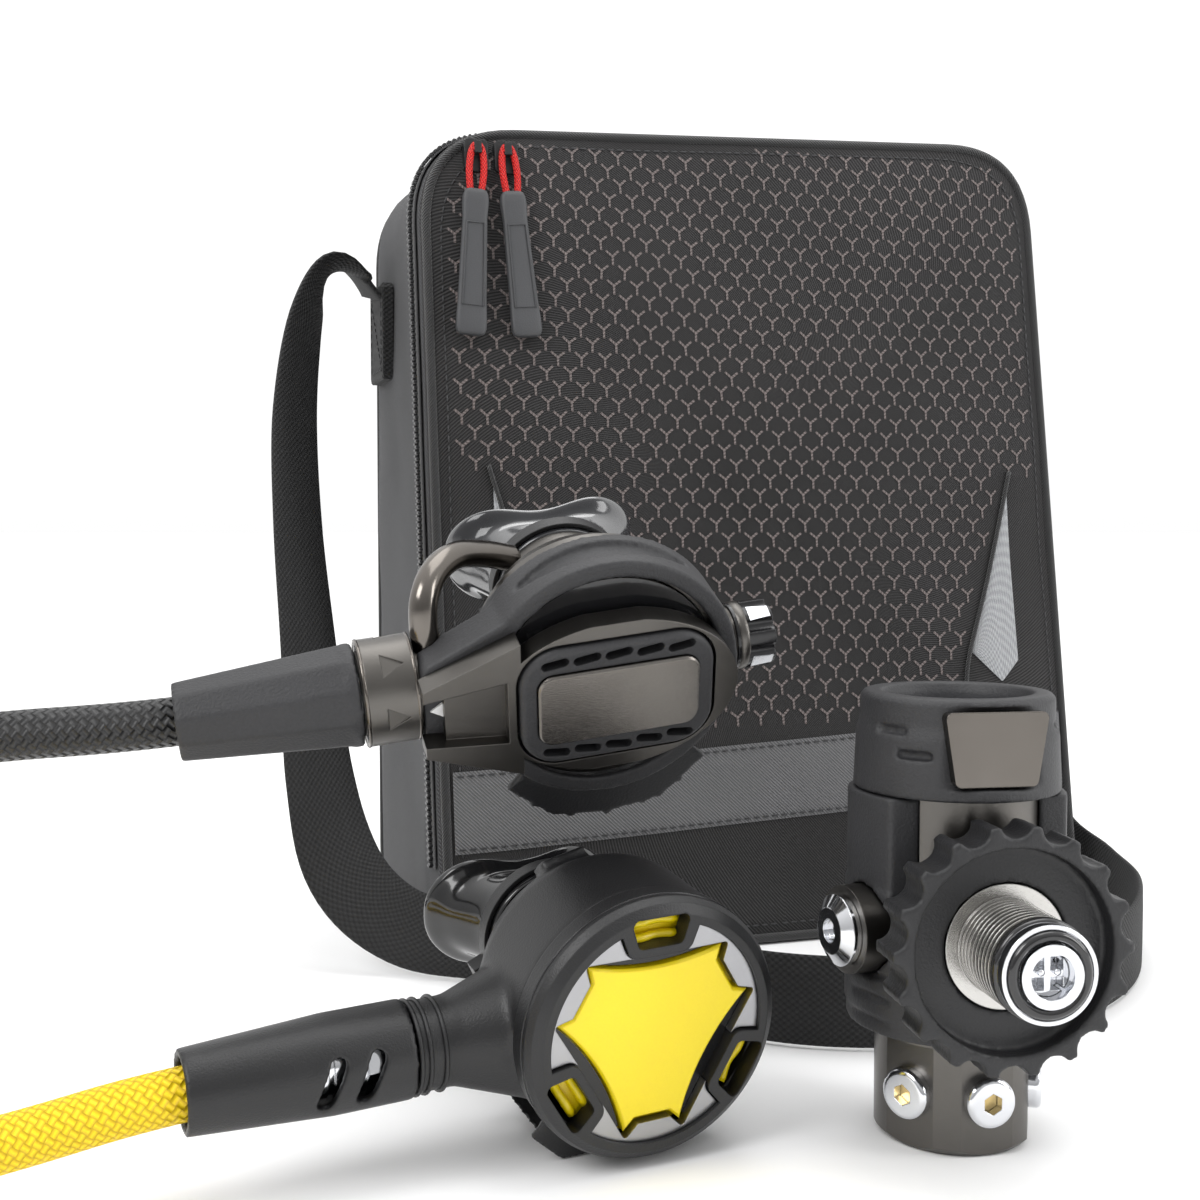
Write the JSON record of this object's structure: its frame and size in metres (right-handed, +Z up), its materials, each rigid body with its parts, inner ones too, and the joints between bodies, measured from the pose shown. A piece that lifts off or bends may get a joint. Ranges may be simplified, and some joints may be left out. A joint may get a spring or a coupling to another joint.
{
  "type": "scuba regulator set",
  "caption": "Scuba regulator set: a threaded-inlet first stage, a primary and a spare second stage on hoses, and a padded carry bag with a shoulder strap.",
  "frame": {"origin": "middle of the floor area that the set stands on, hoses left out", "axes": "+Y runs from the regulators in front to the bag behind, +X to the right, +Z up"},
  "size_m": [0.5983, 0.4689, 0.3043],
  "materials": {
    "bag_fabric": "dark grey woven polyester",
    "lid_fabric": "black printed polyester",
    "webbing": "ribbed black webbing",
    "zip_metal": "black painted zinc",
    "pull_rubber": "soft dark grey rubber",
    "gunmetal": "gunmetal coating, satin",
    "chrome": "polished chrome",
    "soft_charcoal": "speckled charcoal rubber",
    "black_plastic": "fine-grained black plastic",
    "yellow_plastic": "yellow plastic",
    "smoke_silicone": "smoky clear silicone",
    "black_silicone": "glossy black silicone",
    "tie_nylon": "black nylon",
    "spring_steel": "stainless steel",
    "brass": "turned brass",
    "black_braid": "black braided cover",
    "yellow_braid": "yellow braided cover"
  },
  "bodies": {
    "bag": {"bag_shell": "bag_fabric", "shoulder_strap": "webbing"},
    "lid": {"bag_lid": "lid_fabric"},
    "slider_left": {"zip_slider_left": "zip_metal"},
    "slider_right": {"zip_slider_right": "zip_metal"},
    "pull_left": {"zip_pull_left": "pull_rubber"},
    "pull_right": {"zip_pull_right": "pull_rubber"},
    "first_stage": {"first_stage_body": "gunmetal", "rubber_armor": "soft_charcoal", "top_cap": "soft_charcoal", "badge_plate": "gunmetal", "adjusting_screw": "chrome", "main_spring": "spring_steel", "main_diaphragm": "black_silicone", "pressure_port_plug": "chrome", "inlet_nozzle": "chrome", "inlet_face_seal": "black_silicone"},
    "turret": {"turret": "gunmetal", "lp_port_plugs": "chrome"},
    "din_wheel": {"hand_wheel": "black_plastic", "din_thread_sleeve": "chrome"},
    "inlet_valve": {"inlet_valve_core": "tie_nylon"},
    "seat_valve": {"seat_poppet": "brass"},
    "primary_hose_set": {"primary_hose": "black_braid", "primary_hose_coil": "black_braid", "primary_hose_end": "chrome", "primary_hose_sleeve": "soft_charcoal", "primary_hose_fitting": "chrome"},
    "primary_stage": {"primary_case": "gunmetal", "primary_bumper": "soft_charcoal", "primary_bezel": "gunmetal", "primary_bypass_tube": "gunmetal", "primary_neck_collar": "gunmetal", "primary_mouthpiece": "smoke_silicone", "primary_mouthpiece_tie": "tie_nylon", "primary_exhaust_tee": "black_plastic", "primary_valve_barrel": "chrome", "primary_diaphragm": "black_silicone"},
    "primary_selector": {"primary_selector_ring": "gunmetal"},
    "primary_knob": {"primary_adjust_knob": "black_plastic"},
    "primary_purge": {"primary_purge_cover": "black_plastic", "primary_purge_plate": "gunmetal"},
    "primary_lever": {"primary_lever": "spring_steel"},
    "primary_poppet": {"primary_poppet": "brass"},
    "octopus_hose_set": {"octopus_hose": "yellow_braid", "octopus_hose_coil": "yellow_braid", "octopus_hose_end": "chrome", "octopus_hose_sleeve": "black_plastic", "octopus_hose_fitting": "chrome"},
    "octopus_stage": {"octopus_case": "black_plastic", "octopus_cover_ring": "black_plastic", "octopus_face_plate": "chrome", "octopus_mouthpiece": "black_silicone", "octopus_mouthpiece_tie": "tie_nylon", "octopus_exhaust_wing": "black_plastic", "octopus_valve_barrel": "chrome", "octopus_diaphragm": "black_silicone"},
    "octopus_purge": {"octopus_purge_star": "yellow_plastic"},
    "octopus_lever": {"octopus_lever": "spring_steel"},
    "octopus_poppet": {"octopus_poppet": "brass"}
  },
  "joints": [
    {"name": "first_stage_lift", "type": "slide", "parent": "bag", "child": "first_stage", "axis": [0, 0, 1], "range_m": [0, 0.4]},
    {"name": "primary_lift", "type": "slide", "parent": "bag", "child": "primary_hose_set", "axis": [0, 0, 1], "range_m": [0, 0.4]},
    {"name": "octopus_forward", "type": "slide", "parent": "bag", "child": "octopus_hose_set", "axis": [0, -1, 0], "range_m": [0, 0.3]},
    {"name": "lid_hinge", "type": "hinge", "parent": "bag", "child": "lid", "pos_m": [0.02707, 0.03017, 0.002], "axis": [0.9537, 0.3007, 0], "range_deg": [0, 20]},
    {"name": "zip_left", "type": "slide", "parent": "lid", "child": "slider_left", "axis": [-0.9537, -0.3007, 0], "range_m": [0, 0.008]},
    {"name": "zip_right", "type": "slide", "parent": "lid", "child": "slider_right", "axis": [0.9537, 0.3007, 0], "range_m": [0, 0.17]},
    {"name": "pull_left_swing", "type": "hinge", "parent": "slider_left", "child": "pull_left", "pos_m": [-0.08282, 0.02953, 0.28491], "axis": [-0.9537, -0.3007, 0], "range_deg": [0, 150]},
    {"name": "pull_right_swing", "type": "hinge", "parent": "slider_right", "child": "pull_right", "pos_m": [-0.07233, 0.03283, 0.28491], "axis": [-0.9537, -0.3007, 0], "range_deg": [0, 150]},
    {"name": "turret_swivel", "type": "hinge", "parent": "first_stage", "child": "turret", "pos_m": [0.04917, -0.14029, 0.02], "axis": [0, 0, 1], "continuous": true},
    {"name": "wheel_turn", "type": "hinge", "parent": "first_stage", "child": "din_wheel", "pos_m": [0.04917, -0.14029, 0.054], "axis": [0.1564, -0.9877, 0], "continuous": true},
    {"name": "inlet_valve_push", "type": "slide", "parent": "first_stage", "child": "inlet_valve", "axis": [-0.1564, 0.9877, 0], "range_m": [0, 0.002], "stiffness_N_per_m": 900},
    {"name": "seat_lift", "type": "slide", "parent": "first_stage", "child": "seat_valve", "axis": [0, 0, -1], "range_m": [0, 0.0006], "stiffness_N_per_m": 4000},
    {"name": "primary_swivel", "type": "hinge", "parent": "primary_hose_set", "child": "primary_stage", "pos_m": [-0.03999, -0.12648, 0.11701], "axis": [0.9616, 0.2414, 0.1304], "range_deg": [-12, 25]},
    {"name": "selector_turn", "type": "hinge", "parent": "primary_stage", "child": "primary_selector", "pos_m": [-0.09192, -0.13952, 0.10997], "axis": [0.9616, 0.2414, 0.1304], "range_deg": [0, 60]},
    {"name": "knob_turn", "type": "hinge", "parent": "primary_stage", "child": "primary_knob", "pos_m": [-0.00153, -0.11682, 0.12223], "axis": [0.9616, 0.2414, 0.1304], "range_deg": [0, 350]},
    {"name": "primary_purge_push", "type": "slide", "parent": "primary_stage", "child": "primary_purge", "axis": [-0.2744, 0.8482, 0.453], "range_m": [0, 0.003], "stiffness_N_per_m": 900},
    {"name": "primary_lever_tip", "type": "hinge", "parent": "primary_stage", "child": "primary_lever", "pos_m": [-0.03054, -0.12998, 0.11516], "axis": [0.0012, 0.4714, -0.8819], "range_deg": [0, 6.2]},
    {"name": "primary_poppet_open", "type": "slide", "parent": "primary_stage", "child": "primary_poppet", "axis": [0.9616, 0.2414, 0.1304], "range_m": [0, 0.001]},
    {"name": "octopus_swivel", "type": "hinge", "parent": "octopus_hose_set", "child": "octopus_stage", "pos_m": [-0.03625, -0.14586, 0.03209], "axis": [0.9048, 0.4235, 0.0452], "range_deg": [-20, 4]},
    {"name": "octopus_purge_push", "type": "slide", "parent": "octopus_stage", "child": "octopus_purge", "axis": [-0.4255, 0.894, 0.1402], "range_m": [0, 0.003], "stiffness_N_per_m": 900},
    {"name": "octopus_lever_tip", "type": "hinge", "parent": "octopus_stage", "child": "octopus_lever", "pos_m": [-0.02629, -0.14819, 0.03156], "axis": [-0.0189, 0.1461, -0.9891], "range_deg": [0, 6.2]},
    {"name": "octopus_poppet_open", "type": "slide", "parent": "octopus_stage", "child": "octopus_poppet", "axis": [0.9048, 0.4235, 0.0452], "range_m": [0, 0.001]}
  ],
  "couplings": [
    {"joint": "primary_lever_tip", "follows": "primary_purge_push", "rad_per_m": 35},
    {"joint": "primary_poppet_open", "follows": "primary_purge_push", "ratio": 0.3},
    {"joint": "octopus_lever_tip", "follows": "octopus_purge_push", "rad_per_m": 35},
    {"joint": "octopus_poppet_open", "follows": "octopus_purge_push", "ratio": 0.3}
  ]
}
